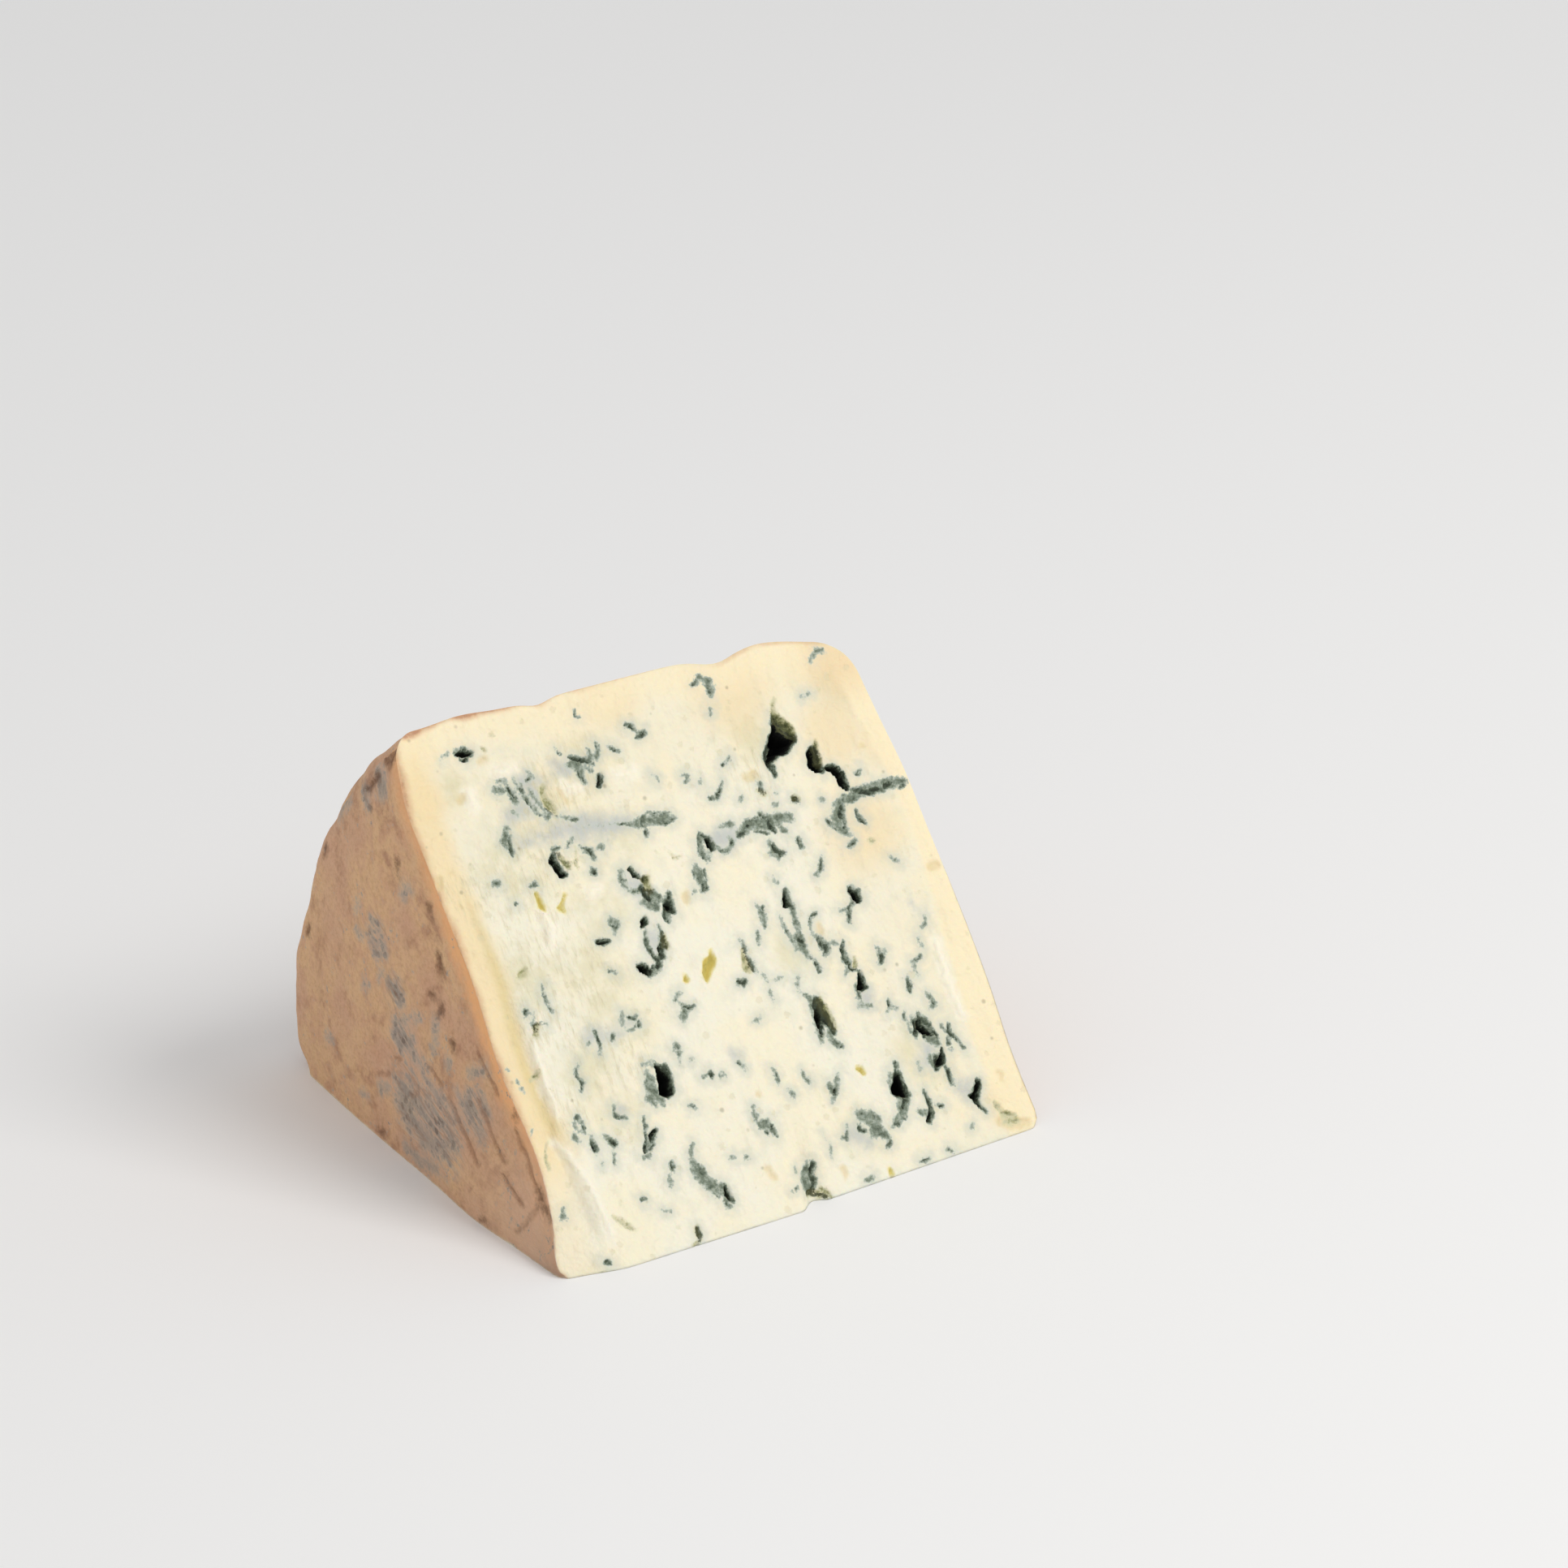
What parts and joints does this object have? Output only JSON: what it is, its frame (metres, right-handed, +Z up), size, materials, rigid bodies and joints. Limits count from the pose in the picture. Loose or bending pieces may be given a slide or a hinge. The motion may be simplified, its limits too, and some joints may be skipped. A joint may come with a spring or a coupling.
{
  "type": "blue cheese wedge",
  "caption": "Loose wedge of blue-veined cheese with a thin tan rind on its rim and both flats, lying on one cut face.",
  "frame": {"origin": "middle of the bounding box's base, on the surface that the wedge lies on", "axes": "+X along the axis of the wheel that it was cut from; +Y from the tip edge to the rim; +Z up"},
  "size_m": [0.1032, 0.1034, 0.0809],
  "materials": {
    "cheese": "soft creamy paste with blue-green mould in its holes, and a thin dry tan rind"
  },
  "bodies": {
    "root": {"blue_cheese_wedge": "cheese"}
  },
  "joints": []
}
